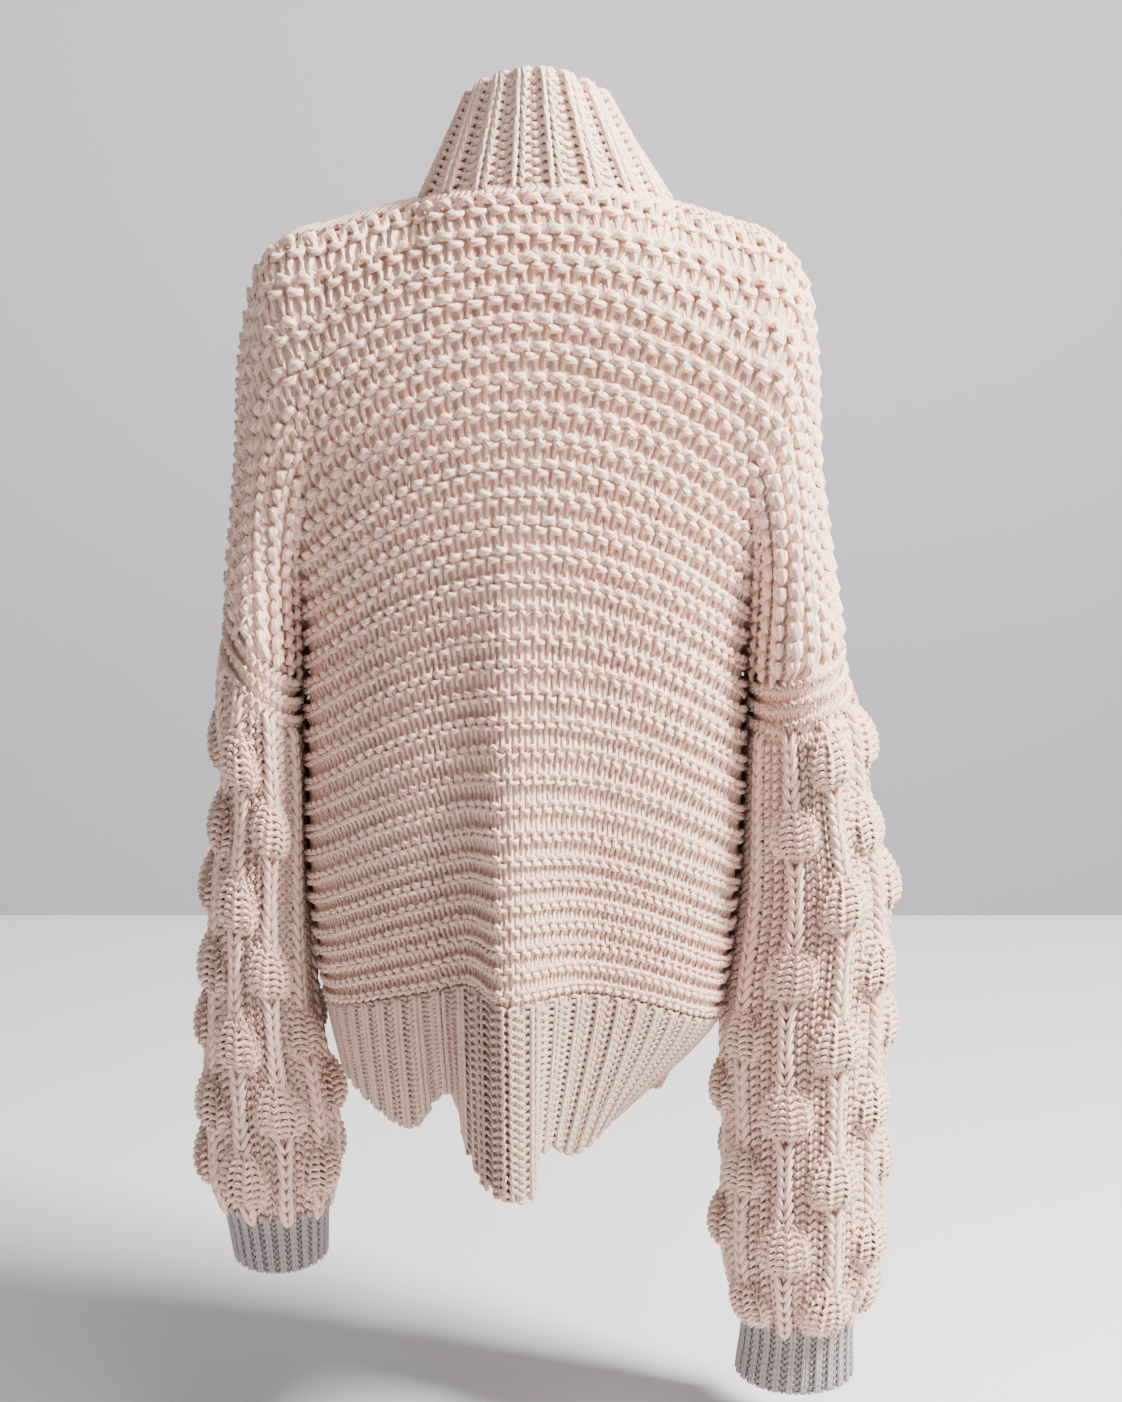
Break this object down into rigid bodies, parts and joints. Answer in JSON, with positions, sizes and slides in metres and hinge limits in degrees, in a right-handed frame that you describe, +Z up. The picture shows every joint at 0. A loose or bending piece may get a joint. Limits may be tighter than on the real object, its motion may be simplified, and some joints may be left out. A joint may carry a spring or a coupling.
{
  "type": "open-front cardigan",
  "caption": "Open-front chunky knit cardigan in pale dusty pink, with a standing ribbed collar, dropped shoulders, bobble-knit sleeves and a gathered hem, hanging filled out.",
  "frame": {"origin": "the middle of the shoulder line at the base of the neck, where the garment is held up", "axes": "+Z up, -Y towards the wearer's front, +X towards the wearer's left"},
  "size_m": [0.6016, 0.3161, 1.1212],
  "materials": {
    "wool": "soft matt hand-knitting yarn, pale dusty pink, loosely plied with a short halo of fibres",
    "wool_rib": "the same yarn knitted in rib for the collar, bands, hem and cuffs"
  },
  "bodies": {
    "root": {"back": "wool", "front_left": "wool", "front_right": "wool", "sleeve_left": "wool", "sleeve_right": "wool", "collar_and_bands": "wool_rib", "hem_back": "wool_rib", "hem_front_left": "wool_rib", "hem_front_right": "wool_rib", "cuff_left": "wool_rib", "cuff_right": "wool_rib"}
  },
  "joints": []
}
